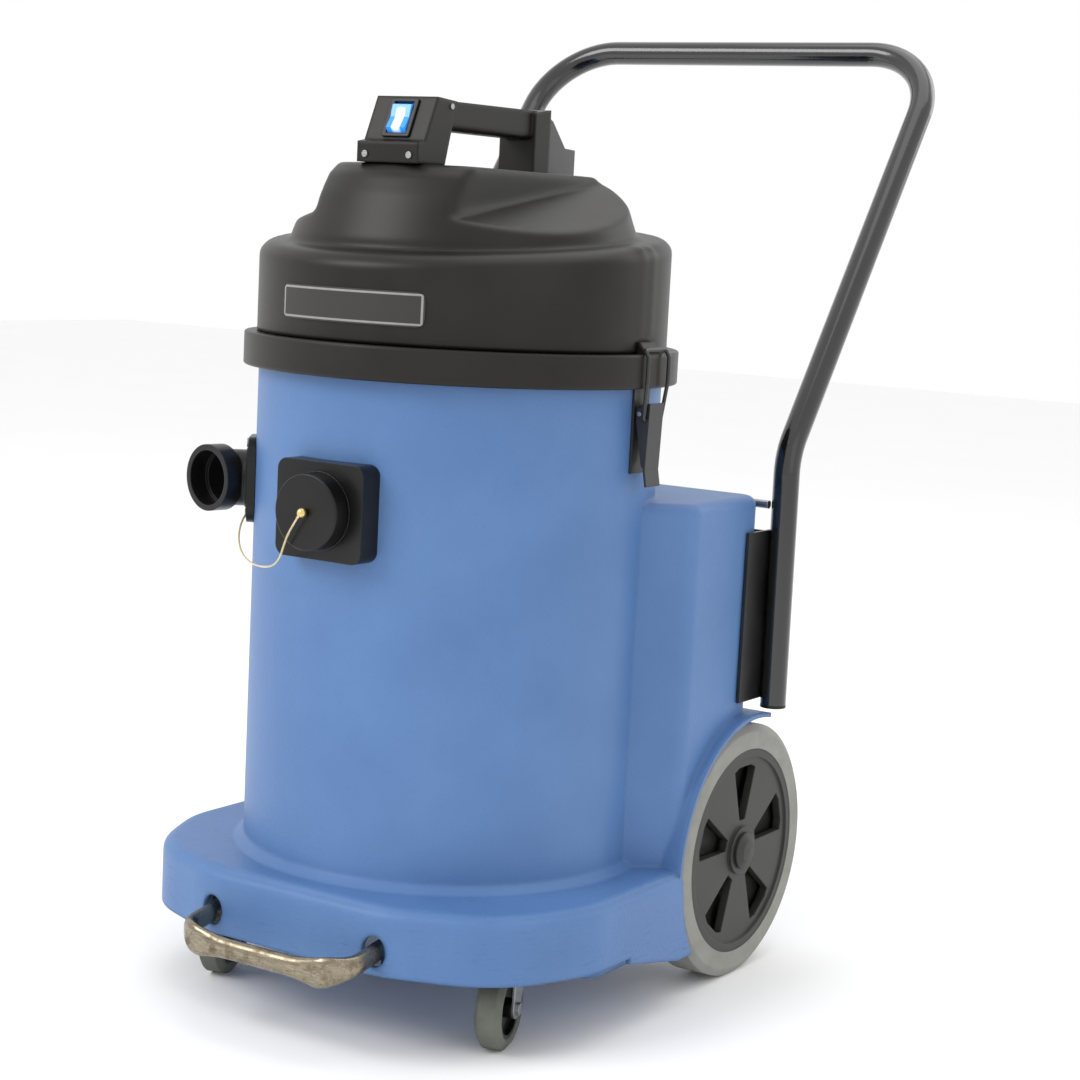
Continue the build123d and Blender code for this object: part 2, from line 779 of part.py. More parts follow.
with BuildPart() as box_screws:
    with BuildSketch(facing(-128)):
        with Locations((-24, head_top + 7), (24, head_top + 7)):
            Circle(3)
    extrude(amount=1.5)
    for direction in (-1, 1):
        with BuildSketch(side(direction * box_width / 2)):
            with Locations((-80, grip_top - 7)):
                Circle(2.6)
        extrude(amount=direction * 1.2)
finish(box_screws, "box_screws")

with BuildPart() as badge:
    with BuildSketch(radial(-2, 643)):
        RectangleRounded(150, 30, 8)
    extrude(amount=head_r + 20)
    with BuildSketch(level(600)):
        Circle(head_r + 1.2)
    extrude(amount=100, mode=Mode.INTERSECT)
    with BuildSketch(level(600)):
        Circle(head_r)
    extrude(amount=100, mode=Mode.SUBTRACT)
finish(badge, "badge")

# ---- latches ------------------------------------------------------------------------

pivot_x = 194.5
bail_pivot_x = 201.0
bail_pivot_z = 553.0
latch_mid = drum_y + latch_dy
for label, direction in sides:
    with BuildPart() as latch_plate:
        with BuildSketch(facing(latch_dy + latch_width / 2)):
            with BuildLine():
                Polyline((direction * 180, latch_plate_bottom), (direction * 189.5, latch_plate_bottom),
                         (direction * 189.5, latch_plate_top), (direction * 180, latch_plate_top), close=True)
            make_face()
        extrude(amount=latch_width)
        with BuildSketch(level(latch_plate_bottom)):
            Circle(drum_r)
        extrude(amount=latch_plate_top - latch_plate_bottom, mode=Mode.SUBTRACT)
        # ears for the lever's pin
        for ear in (-1, 1):
            with BuildSketch(facing(latch_dy + ear * 6.5 + 1.25)):
                with Locations((direction * pivot_x, latch_pivot_z)):
                    Circle(5)
                with Locations((direction * (pivot_x - 3.5), latch_pivot_z)):
                    Rectangle(6, 14)
                with Locations((direction * pivot_x, latch_pivot_z)):
                    Circle(latch_pin_r, mode=Mode.SUBTRACT)
            extrude(amount=2.5)
    finish(latch_plate, f"latch_plate_{label}")

    with BuildPart() as latch_lever:
        # web
        with BuildSketch(facing(latch_dy + 12)):
            with BuildLine():
                Polyline((direction * 203.5, 568), (direction * 205.5, 568), (direction * 203.5, 508),
                         (direction * 206, 494), (direction * 204, 493), (direction * 201.3, 508), close=True)
            make_face()
        extrude(amount=24)
        # cheeks that hold the pin and the bail
        for cheek in (-1, 1):
            with BuildSketch(facing(latch_dy + cheek * 11 + 1)):
                with BuildLine():
                    Polyline((direction * 191.5, 561.2), (direction * 203.5, 568), (direction * 205, 568),
                             (direction * 202.8, 508), (direction * 199, 512), (direction * 191.5, 551),
                             close=True)
                make_face()
                with Locations((direction * pivot_x, latch_pivot_z)):
                    Circle(latch_pin_r + fit, mode=Mode.SUBTRACT)
                with Locations((direction * bail_pivot_x, bail_pivot_z)):
                    Circle(wire_r + fit, mode=Mode.SUBTRACT)
            extrude(amount=2)
    finish(latch_lever, f"latch_lever_{label}")

    with BuildPart() as latch_bail:
        arm_x = direction * (band_r + 3.2)
        foot_x = direction * bail_pivot_x
        half = bail_width / 2
        # half of the wire, from its end in the cheek to the crossbar: (x, out from the middle, height)
        wire_half = [(foot_x, 8.5, bail_pivot_z), (foot_x, 15.2, bail_pivot_z), (arm_x, half, band_bottom + 6),
                     (arm_x, half, band_top - 2), (direction * bail_top_x, half, bail_top_z)]
        bends = [wire_bend_r, 10, 5, wire_bend_r + 0.2]
        wire_stops = [(x, latch_mid - out, z) for x, out, z in wire_half]
        wire_stops += [(x, latch_mid + out, z) for x, out, z in reversed(wire_half)]
        with BuildLine():
            FilletPolyline(*wire_stops, radius=bends + bends[::-1])
        with BuildSketch(Plane(origin=(foot_x, latch_mid - 8.5, bail_pivot_z), z_dir=(0, -1, 0))):
            Circle(wire_r)
        sweep()
    finish(latch_bail, f"latch_bail_{label}")

with BuildPart() as latch_pins:
    for direction in (-1, 1):
        with BuildSketch(facing(latch_dy + 12.5)):
            with Locations((direction * pivot_x, latch_pivot_z)):
                Circle(latch_pin_r)
        extrude(amount=25)
finish(latch_pins, "latch_pins")

# ---- rear wheels --------------------------------------------------------------------

with BuildPart() as rear_axle:
    with BuildSketch(side(-wheel_face + 6)):
        with Locations((axle_dy, wheel_r)):
            Circle(axle_r)
    extrude(amount=2 * (wheel_face - 6))
finish(rear_axle, "rear_axle")

inner_x = wheel_face - wheel_width
for label, direction in sides:

    with BuildPart() as wheel_tyre:
        with BuildSketch(facing(axle_dy)):
            with BuildLine():
                Polyline((direction * inner_x, wheel_r + wheel_disc_r), (direction * inner_x, 2 * wheel_r - 8),
                         (direction * (inner_x + 7), 2 * wheel_r), (direction * (wheel_face - 6), 2 * wheel_r),
                         (direction * (wheel_face - 1.5), 2 * wheel_r - 7),
                         (direction * (wheel_face - 1.5), wheel_r + wheel_disc_r), close=True)
            make_face()
        revolve(axis=Axis((0, axle_y, wheel_r), (1, 0, 0)))
    finish(wheel_tyre, f"wheel_tyre_{label}")

    # rim, web and hub: from, to, outer and inner radius
    disc_rings = [(inner_x + 2, wheel_face - 2, wheel_disc_r, wheel_disc_r - 8),
                  (wheel_face - 12, wheel_face - 4, wheel_disc_r - 2, hub_r - 2),
                  (inner_x, wheel_face - 1, hub_r, axle_r + 3)]
    with BuildPart() as wheel_disc:
        for start, end, r_out, r_in in disc_rings:
            with BuildSketch(side(direction * start)):
                with Locations((axle_dy, wheel_r)):
                    Circle(r_out)
                    Circle(r_in, mode=Mode.SUBTRACT)
            extrude(amount=direction * (end - start))
        # five windows, narrow towards the hub
        with BuildSketch(side(direction * (wheel_face - 20))):
            with Locations((axle_dy, wheel_r)):
                with PolarLocations(0, wheel_window_count, start_angle=90):
                    Polygon((30, -5.5), (80, -21), (84, -12), (84, 12), (80, 21), (30, 5.5), align=None)
        extrude(amount=direction * 30, mode=Mode.SUBTRACT)
    finish(wheel_disc, f"wheel_disc_{label}")

    with BuildPart() as wheel_bush:
        with BuildSketch(side(direction * (inner_x - 1))):
            with Locations((axle_dy, wheel_r)):
                Circle(axle_r + 3)
                Circle(axle_r + fit, mode=Mode.SUBTRACT)
        extrude(amount=direction * (wheel_width - 4))
    finish(wheel_bush, f"wheel_bush_{label}")

    with BuildPart() as hub_cap:
        with BuildSketch(facing(axle_dy)):
            with BuildLine():
                Polyline((direction * (wheel_face - 1), wheel_r + axle_r + 1),
                         (direction * (wheel_face - 1), wheel_r + 18),
                         (direction * (wheel_face + 2), wheel_r + 18),
                         (direction * (wheel_face + 6), wheel_r + 11), (direction * (wheel_face + 7), wheel_r),
                         (direction * (wheel_face - 1), wheel_r), close=True)
            make_face()
        revolve(axis=Axis((0, axle_y, wheel_r), (1, 0, 0)))
    finish(hub_cap, f"hub_cap_{label}")

# ---- casters ------------------------------------------------------------------------

roll_axis = Vector(cos(radians(caster_yaw)), sin(radians(caster_yaw)), 0)
trail_dir = Vector(sin(radians(caster_yaw)), -cos(radians(caster_yaw)), 0)
leg_inner = caster_width / 2 + 1.5
leg_outer = leg_inner + fork_sheet
for label, direction in sides:
    swivel = Vector(direction * caster_x, drum_y + caster_dy, 0)
    hub = swivel + trail_dir * caster_trail + Vector(0, 0, caster_r)
    plate_bottom = caster_height - 3

    def across(offset):
        """Plane across the caster's wheel axis; local x runs from the axle back to the swivel."""
        return Plane(origin=hub + roll_axis * offset, x_dir=-trail_dir, z_dir=roll_axis)

    with BuildPart() as caster_plate:
        with BuildSketch(Plane(origin=(swivel.X, swivel.Y, plate_bottom))):
            RectangleRounded(56, 50, 5)
        extrude(amount=3)
        with BuildSketch(Plane(origin=(swivel.X, swivel.Y, plate_bottom - 4))):
            Circle(20)
        extrude(amount=4)
        # king pin, headed below the fork
        with BuildSketch(Plane(origin=(swivel.X, swivel.Y, plate_bottom - 14))):
            Circle(5)
        extrude(amount=14)
        with BuildSketch(Plane(origin=(swivel.X, swivel.Y, plate_bottom - 14))):
            Circle(8)
        extrude(amount=3)
    finish(caster_plate, f"caster_plate_{label}")

    with BuildPart() as caster_fork:
        crown_top = plate_bottom - 4 - gap
        with BuildSketch(Plane(origin=(swivel.X, swivel.Y, crown_top - 5))):
            Circle(21)
        extrude(amount=5)
        with BuildSketch(Plane(origin=(swivel.X, swivel.Y, crown_top - 5), x_dir=roll_axis)):
            with Locations((0, -9)):
                Rectangle(2 * leg_outer, 30)
        extrude(amount=5)
        for leg in (-1, 1):
            start = leg_inner if leg > 0 else -leg_outer
            with BuildSketch(across(start)):
                with BuildLine():
                    Polyline((-8, -4), (6, -7), (34, crown_top - caster_r - 5), (34, crown_top - caster_r),
                             (-4, crown_top - caster_r), (-9, 2), close=True)
                make_face()
                Circle(9)
                Circle(4, mode=Mode.SUBTRACT)
            extrude(amount=fork_sheet)
        with BuildSketch(Plane(origin=(swivel.X, swivel.Y, crown_top - 6))):
            Circle(5 + fit)
        extrude(amount=8, mode=Mode.SUBTRACT)
    finish(caster_fork, f"caster_fork_{label}")

    with BuildPart() as caster_axle:
        with BuildSketch(across(-leg_outer)):
            Circle(4)
        extrude(amount=2 * leg_outer)
        with BuildSketch(across(-leg_outer - 3)):
            RegularPolygon(6, 6)
        extrude(amount=3)
        with BuildSketch(across(leg_outer)):
            RegularPolygon(6, 6)
        extrude(amount=3)
    finish(caster_axle, f"caster_axle_{label}")

    with BuildPart() as caster_hub:
        with BuildSketch(across(-caster_width / 2 + 2)):
            Circle(caster_rim_r)
        extrude(amount=caster_width - 4)
        with BuildSketch(across(-caster_width / 2 + 2)):
            Circle(24)
        extrude(amount=5, mode=Mode.SUBTRACT)
        with BuildSketch(across(caster_width / 2 - 7)):
            Circle(24)
        extrude(amount=5, mode=Mode.SUBTRACT)
        with BuildSketch(across(-caster_width / 2 - 1)):
            Circle(9)
        extrude(amount=caster_width + 2)
        with BuildSketch(across(-caster_width / 2 - 1)):
            Circle(4 + fit)
        extrude(amount=caster_width + 2, mode=Mode.SUBTRACT)
    finish(caster_hub, f"caster_hub_{label}")

    with BuildPart() as caster_tyre:
        with BuildSketch(Plane(origin=hub, x_dir=roll_axis, z_dir=trail_dir)):
            with BuildLine():
                Polyline((-10.5, caster_rim_r), (-caster_width / 2, caster_rim_r + 3), (-caster_width / 2, 31.5),
                         (-8, caster_r), (8, caster_r), (caster_width / 2, 31.5),
                         (caster_width / 2, caster_rim_r + 3), (10.5, caster_rim_r), close=True)
            make_face()
        revolve(axis=Axis(hub, roll_axis))
    finish(caster_tyre, f"caster_tyre_{label}")

# ---- push handle --------------------------------------------------------------------

handle_points = []
for direction in (-1, 1):
    leg = [(direction * handle_x, drum_y + handle_foot_dy, handle_foot_z),
           (direction * handle_x, drum_y + handle_bend_dy, handle_bend_z),
           (direction * handle_x, drum_y + handle_top_dy, handle_top_z)]
    handle_points += leg if direction < 0 else leg[::-1]
with BuildPart() as push_handle:
    with BuildLine():
        tube_line = FilletPolyline(*handle_points,
                                   radius=[handle_bend_r, handle_corner_r, handle_corner_r, handle_bend_r])
    with BuildSketch(Plane(origin=tube_line @ 0, z_dir=tube_line % 0)):
        Circle(tube_r)
        Circle(tube_r - tube_wall, mode=Mode.SUBTRACT)
    sweep()
finish(push_handle, "push_handle")

for label, direction in sides:
    tube_side = handle_x - tube_r - 0.1
    with BuildPart() as handle_bracket:
        with BuildSketch(level(275)):
            with BuildLine():
                Polyline((direction * 221, 170), (direction * tube_side, 170), (direction * tube_side, 228),
                         (direction * 221, 228), close=True)
            make_face()
            with BuildLine():
                Polyline((direction * 192, box_rear + 0.2), (direction * 222, box_rear + 0.2),
                         (direction * 222, box_rear + 3.6), (direction * 192, box_rear + 3.6), close=True)
            make_face()
        extrude(amount=165)
    finish(handle_bracket, f"handle_bracket_{label}")

with BuildPart() as handle_bolts:
    for direction in (-1, 1):
        for z in (310, 405):
            with BuildSketch(side(direction * 214)):
                with Locations((handle_foot_dy - 1, z)):
                    RegularPolygon(7, 6)
            extrude(amount=direction * 5.9)
            with BuildSketch(side(direction * 214)):
                with Locations((handle_foot_dy - 1, z)):
                    Circle(3)
            extrude(amount=direction * 6)
        # pin through the box's upper corner
        with BuildSketch(side(direction * 206)):
            with Locations((box_rear + 4, box_top - 9)):
                Circle(4)
        extrude(amount=direction * (handle_x - tube_r - 0.5 - 206))
finish(handle_bolts, "handle_bolts")

with BuildPart() as tube_plugs:
    for direction in (-1, 1):
        foot = Plane(origin=(direction * handle_x, drum_y + handle_foot_dy, handle_foot_z),
                     z_dir=(0, handle_foot_dy - handle_bend_dy, handle_foot_z - handle_bend_z))
        with BuildSketch(foot):
            Circle(tube_r)
        extrude(amount=3)
        with BuildSketch(foot.offset(-10)):
            Circle(tube_r - tube_wall - 0.4)
        extrude(amount=10)
finish(tube_plugs, "tube_plugs")

# ---- tipping bar --------------------------------------------------------------------

bar_points = [(-bar_x, drum_y - deck_front + 14, bar_leg_z + 1), (-bar_x, drum_y - bar_reach, bar_front_z),
              (bar_x, drum_y - bar_reach, bar_front_z), (bar_x, drum_y - deck_front + 14, bar_leg_z + 1)]
with BuildPart() as tipping_bar:
    with BuildLine():
        bar_line = FilletPolyline(*bar_points, radius=26)
    with BuildSketch(Plane(origin=bar_line @ 0, x_dir=(1, 0, 0), z_dir=bar_line % 0)):
        Ellipse(bar_half_depth, bar_half_height)
    sweep(transition=Transition.RIGHT)
finish(tipping_bar, "tipping_bar")
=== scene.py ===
import json
from math import cos, exp, pi, radians, sin

import bmesh
import bpy
from mathutils import Matrix, Vector
from mathutils.bvhtree import BVHTree


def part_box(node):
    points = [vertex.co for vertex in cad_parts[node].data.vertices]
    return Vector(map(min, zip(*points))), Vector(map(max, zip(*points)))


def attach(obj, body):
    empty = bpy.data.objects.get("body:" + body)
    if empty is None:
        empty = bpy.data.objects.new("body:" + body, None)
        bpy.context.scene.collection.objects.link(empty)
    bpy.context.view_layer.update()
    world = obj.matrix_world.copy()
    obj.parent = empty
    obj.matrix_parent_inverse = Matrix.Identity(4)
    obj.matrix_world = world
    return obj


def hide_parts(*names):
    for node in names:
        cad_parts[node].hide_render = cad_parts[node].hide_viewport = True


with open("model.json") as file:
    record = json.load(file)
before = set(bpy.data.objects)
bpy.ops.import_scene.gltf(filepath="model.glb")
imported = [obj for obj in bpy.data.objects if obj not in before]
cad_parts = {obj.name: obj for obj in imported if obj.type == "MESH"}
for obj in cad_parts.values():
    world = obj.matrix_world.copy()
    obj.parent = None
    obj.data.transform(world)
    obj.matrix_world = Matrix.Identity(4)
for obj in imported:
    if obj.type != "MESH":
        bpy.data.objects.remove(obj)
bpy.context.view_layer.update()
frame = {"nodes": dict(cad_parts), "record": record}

scene = bpy.context.scene

# Commercial wet vacuum cleaner, in metres, +Z up, facing -Y.

band_low, band_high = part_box("motor_plate")
drum_y = (band_low.y + band_high.y) / 2


# ---- camera -------------------------------------------------------------------------

def place_camera():
    """A long lens, a little above the machine's middle and to its right, slightly rolled."""
    place = (1.24103, -1.89584, 0.71835)
    azimuth = radians(32.31)
    pitch = radians(8.2)
    roll = radians(3.01)
    forward = Vector((-sin(azimuth) * cos(pitch), cos(azimuth) * cos(pitch), -sin(pitch)))
    right = Vector((cos(azimuth), sin(azimuth), 0))
    up = right.cross(forward)
    rolled_right = cos(roll) * right + sin(roll) * up
    rolled_up = cos(roll) * up - sin(roll) * right
    data = bpy.data.cameras.new("camera")
    data.lens = 77.17
    data.sensor_width = 36
    data.shift_x = -0.0178
    data.shift_y = 0.0201
    camera = bpy.data.objects.new("camera", data)
    scene.collection.objects.link(camera)
    turn = Matrix((rolled_right, rolled_up, -forward)).transposed()
    camera.matrix_world = Matrix.Translation(place) @ turn.to_4x4()
    scene.camera = camera


place_camera()


# ---- shader sums --------------------------------------------------------------------

class Value:
    """One output of a shader node, which sums and products can be made of."""

    def __init__(self, tree, socket):
        self.tree = tree
        self.socket = socket

    def make(self, kind, settings, inputs, output=0):
        """Any node: its type, its settings, then the values or links of its sockets."""
        node = self.tree.nodes.new(kind)
        for name, setting in settings.items():
            setattr(node, name, setting)
        for name, value in inputs.items():
            if isinstance(value, Value):
                self.tree.links.new(value.socket, node.inputs[name])
            else:
                node.inputs[name].default_value = value
        return Value(self.tree, node.outputs[output])

    def sum_of(self, operation, first, second):
        return self.make("ShaderNodeMath", {"operation": operation}, {0: first, 1: second})

    def __add__(self, other):
        return self.sum_of("ADD", self, other)

    __radd__ = __add__

    def __sub__(self, other):
        return self.sum_of("SUBTRACT", self, other)

    def __rsub__(self, other):
        return self.sum_of("SUBTRACT", other, self)

    def __mul__(self, other):
        return self.sum_of("MULTIPLY", self, other)

    __rmul__ = __mul__

    def clipped(self, low, high):
        """0 below low, 1 above high, and a straight rise between them."""
        return self.make("ShaderNodeMapRange", {}, {"Value": self, "From Min": low, "From Max": high})

    def noise(self, scale, detail=3.0, roughness=0.5):
        return self.make("ShaderNodeTexNoise", {},
                         {"Vector": self, "Scale": scale, "Detail": detail, "Roughness": roughness})

    def stretched(self, x, y, z):
        return self.make("ShaderNodeMapping", {}, {"Vector": self, "Scale": (x, y, z)})

    def blend(self, first, second):
        """A colour that goes from first to second as this value goes from 0 to 1."""
        return self.make("ShaderNodeMix", {"data_type": "RGBA"}, {0: self, 6: first, 7: second}, 2)

    def part(self, axis):
        return self.make("ShaderNodeSeparateXYZ", {}, {"Vector": self}, "XYZ".index(axis))


def shade(red, green, blue):
    """A display colour, 0 to 255, as the linear colour that a shader takes."""
    linear = [((c / 255 + 0.055) / 1.055) ** 2.4 if c > 10 else c / 255 / 12.92 for c in (red, green, blue)]
    return (*linear, 1.0)


def finish(name, metallic=0.0, coat=0.0, coat_roughness=0.1, specular=0.5, transmission=0.0):
    """A new material: its shader node and the place on the surface."""
    material = bpy.data.materials.new(name)
    material.use_nodes = True
    tree = material.node_tree
    shader = tree.nodes["Principled BSDF"]
    shader.inputs["Metallic"].default_value = metallic
    shader.inputs["Coat Weight"].default_value = coat
    shader.inputs["Coat Roughness"].default_value = coat_roughness
    shader.inputs["Specular IOR Level"].default_value = specular
    shader.inputs["Transmission Weight"].default_value = transmission
    place = Value(tree, tree.nodes.new("ShaderNodeTexCoord").outputs["Object"])
    return material, shader, place


def connect(shader, place, colour, roughness, height=None, depth=0.0003, rounding=0.0):
    """Feed a colour, a roughness and a relief of that depth, over edges rounded by that radius."""
    tree = place.tree
    for name, value in (("Base Color", colour), ("Roughness", roughness)):
        if isinstance(value, Value):
            tree.links.new(value.socket, shader.inputs[name])
        else:
            shader.inputs[name].default_value = value
    normal = None
    if rounding:
        normal = place.make("ShaderNodeBevel", {"samples": 6}, {"Radius": rounding})
    if height is not None:
        inputs = {"Height": height, "Distance": depth, "Strength": 1.0}
        if normal is not None:
            inputs["Normal"] = normal
        normal = place.make("ShaderNodeBump", {}, inputs)
    if normal is not None:
        tree.links.new(normal.socket, shader.inputs["Normal"])


# ---- finishes -----------------------------------------------------------------------

def rotomoulded_blue():
    """Polyethylene from a hot mould: soft edges, orange peel, faint clouds, and scuffs low down."""
    material, shader, place = finish("rotomoulded_blue", specular=0.42)
    clouds = place.noise(9.0, 4.0)
    specks = place.noise(620.0, 2.0)
    colour = clouds.clipped(0.35, 0.68).blend(shade(77, 113, 163), shade(85, 121, 171))
    colour = (specks.clipped(0.60, 0.78) * 0.30).blend(colour, shade(61, 93, 141))
    low_down = 1.0 - place.part("Z").clipped(0.07, 0.17)
    scuffs = place.stretched(1.0, 1.0, 9.0).noise(46.0, 6.0, 0.7).clipped(0.56, 0.70)
    colour = (scuffs * low_down * 0.35).blend(colour, shade(58, 78, 110))
    roughness = 0.40 + clouds * 0.10 + scuffs * low_down * 0.12
    height = place.noise(260.0, 2.0) * 0.8 + specks * 0.15
    connect(shader, place, colour, roughness, height, 0.00035, 0.006)
    return material


def grained_plastic(name, dark, light, grain_scale, roughness, depth, rounding, scratched=0.25,
                    specular=0.5):
    """Moulded plastic with a fine grain, a little dust and faint rub marks."""
    material, shader, place = finish(name, specular=specular)
    clouds = place.noise(14.0, 4.0)
    grain = place.noise(grain_scale, 2.0)
    rubs = place.stretched(1.0, 1.0, 14.0).noise(30.0, 8.0, 0.75).clipped(0.60, 0.74)
    colour = clouds.clipped(0.32, 0.70).blend(dark, light)
    colour = (rubs * scratched).blend(colour, light)
    connect(shader, place, colour, roughness + clouds * 0.12 - rubs * 0.08, grain, depth, rounding)
    return material


def soft_rubber(name, dark, light, roughness):
    """Rubber with a matt bloom and mould flash."""
    material, shader, place = finish(name, specular=0.35)
    bloom = place.noise(38.0, 5.0, 0.65)
    colour = bloom.clipped(0.34, 0.70).blend(dark, light)
    connect(shader, place, colour, roughness + bloom * 0.12, place.noise(520.0, 3.0), 0.0002, 0.0012)
    return material


def brushed_metal(name, dark, light, roughness, depth=0.00008, spots=0.0):
    """Plated steel with drawing lines and, where spots is above 0, tarnish."""
    material, shader, place = finish(name, metallic=1.0)
    lines = place.stretched(1.0, 26.0, 26.0).noise(60.0, 4.0)
    patches = place.noise(75.0, 6.0, 0.7).clipped(0.46, 0.66)
    colour = lines.clipped(0.3, 0.7).blend(dark, light)
    colour = (patches * spots).blend(colour, shade(92, 78, 58))
    connect(shader, place, colour, roughness + patches * spots * 0.35, lines, depth, 0.0008)
    return material


def enamelled(name, dark, light, roughness, coat):
    """Enamel or powder coat over steel tube and sheet, with a slight peel and chips."""
    material, shader, place = finish(name, coat=coat, coat_roughness=0.06)
    clouds = place.noise(24.0, 4.0)
    chips = place.noise(240.0, 4.0, 0.7).clipped(0.72, 0.75)
    colour = clouds.clipped(0.3, 0.7).blend(dark, light)
    colour = (chips * 0.6).blend(colour, shade(120, 118, 114))
    connect(shader, place, colour, roughness + clouds * 0.10, place.noise(300.0, 2.0), 0.0001, 0.0008)
    return material


def wheel_rubber(name, clean, dirty):
    """Grey non-marking tread with dirt worked into its face."""
    material, shader, place = finish(name, specular=0.35)
    dirt = place.noise(34.0, 5.0, 0.6).clipped(0.40, 0.80)
    colour = dirt.blend(clean, dirty)
    connect(shader, place, colour, 0.62 + dirt * 0.12, place.noise(420.0, 3.0), 0.00025, 0.002)
    return material


def lit_rocker():
    """Clear blue rocker lit from behind, brightest in its middle, with a pale bar."""
    material, shader, place = finish("lit_rocker", coat=0.6)
    low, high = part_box("switch_rocker")
    middle = (low + high) / 2
    across = place.part("X")
    along = place.part("Z") - middle.z
    narrow = 1.0 - (across * across * 90000.0).clipped(0.4, 2.6)
    short = 1.0 - (along * along * 9000.0).clipped(0.3, 1.3)
    bar = narrow * short
    colour = bar.blend(shade(30, 112, 200), shade(222, 244, 255))
    glow = bar.blend(shade(40, 130, 225), shade(232, 248, 255))
    place.tree.links.new(glow.socket, shader.inputs["Emission Color"])
    shader.inputs["Emission Strength"].default_value = 0.85
    connect(shader, place, colour, 0.22 + place.noise(90.0) * 0.08)
    return material


def badge_plate():
    """Blank dark plate with a pale line round it."""
    material, shader, place = finish("badge_plate")
    low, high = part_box("badge")
    middle = (low + high) / 2
    rise = place.part("Z") - middle.z
    sideways = place.part("X") - middle.x
    half_height = (high.z - low.z) / 2
    half_width = (high.x - low.x) / 2

    def plate(top_margin, top_edge, side_margin, side_edge):
        """1 on the plate less these margins, falling to 0 by the edges nearer its rim."""
        in_height = 1.0 - (rise * rise).clipped((half_height - top_margin) ** 2,
                                                (half_height - top_edge) ** 2)
        in_width = 1.0 - (sideways * sideways).clipped((half_width - side_margin) ** 2,
                                                       (half_width - side_edge) ** 2)
        return in_height * in_width

    inside = plate(0.0034, 0.0030, 0.0036, 0.0030)
    within = plate(0.0016, 0.0012, 0.0018, 0.0012)
    wear = place.noise(120.0, 5.0)
    line = (within - inside) * (0.65 + wear * 0.4)
    colour = line.blend(shade(40, 38, 37), shade(150, 148, 144))
    connect(shader, place, colour, 0.38 + wear * 0.12, place.noise(900.0), 0.00004, 0.0006)
    return material


def tether_line():
    """Clear line gone yellow, unevenly."""
    material, shader, place = finish("tether_line", coat=0.5, transmission=0.35)
    age = place.noise(60.0, 4.0)
    colour = age.clipped(0.3, 0.7).blend(shade(226, 200, 140), shade(240, 226, 188))
    connect(shader, place, colour, 0.30 + age * 0.12, place.noise(700.0), 0.00003)
    return material


finishes = {
    "blue_tank": rotomoulded_blue(),
    "black_head": grained_plastic(
        "head_plastic", shade(20, 18, 16), shade(31, 28, 25), 1500.0, 0.33, 0.00008, 0.004, specular=0.30),
    "black_moulding": grained_plastic(
        "smooth_moulding", shade(12, 12, 12), shade(22, 22, 21), 1100.0, 0.26, 0.00005, 0.0015,
        specular=0.32),
    "grey_moulding": grained_plastic(
        "grey_moulding", shade(70, 70, 70), shade(88, 88, 88), 1200.0, 0.42, 0.00007, 0.0015),
    "wheel_black": grained_plastic(
        "wheel_nylon", shade(34, 34, 33), shade(50, 49, 47), 900.0, 0.44, 0.00010, 0.002),
    "bush_nylon": grained_plastic(
        "bush_nylon", shade(214, 212, 204), shade(228, 226, 220), 900.0, 0.40, 0.00005, 0.0006),
    "float_plastic": grained_plastic(
        "float_plastic", shade(216, 216, 210), shade(232, 232, 226), 900.0, 0.40, 0.00006, 0.0008),
    "seal_rubber": soft_rubber("seal_rubber", shade(30, 30, 30), shade(46, 46, 45), 0.72),
    "grey_tyre": wheel_rubber("wheel_rubber", shade(142, 142, 136), shade(128, 127, 121)),
    "brass_trim": brushed_metal("brass_trim", shade(206, 178, 112), shade(236, 216, 160), 0.26),
    "zinc_steel": brushed_metal("zinc_steel", shade(150, 152, 154), shade(190, 192, 194), 0.30, spots=0.2),
    "motor_steel": brushed_metal("motor_steel", shade(140, 140, 144), shade(170, 170, 174), 0.34),
    "tarnished_chrome": brushed_metal(
        "tarnished_chrome", shade(122, 113, 97), shade(168, 158, 138), 0.22, spots=0.75),
    "black_steel": enamelled("black_steel", shade(24, 24, 24), shade(38, 38, 38), 0.34, 0.2),
    "black_tube": enamelled("black_tube", shade(8, 8, 8), shade(15, 15, 15), 0.14, 0.7),
    "blue_rocker": lit_rocker(),
    "badge_plate": badge_plate(),
    "tether_line": tether_line(),
}
slot_of = {entry["node"]: entry["material_slot"] for entry in frame["record"]["subparts"]}
caster_rubber = wheel_rubber("caster_rubber", shade(100, 103, 94), shade(84, 85, 77))


def coat_with(piece, material):
    piece.data.materials.clear()
    piece.data.materials.append(material)


for node, piece in frame["nodes"].items():
    coat_with(piece, caster_rubber if node.startswith("caster_tyre") else finishes[slot_of[node]])


# ---- pieces made here ---------------------------------------------------------------

def piece_from(mesh, name, node, body, smooth=True):
    """A new piece that stands for a CAD node, rides on its body and takes its finish."""
    for polygon in mesh.polygons:
        polygon.use_smooth = smooth
    piece = bpy.data.objects.new(name, mesh)
    scene.collection.objects.link(piece)
    coat_with(piece, finishes[slot_of[node]])
    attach(piece, body)
    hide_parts(node)
    return piece


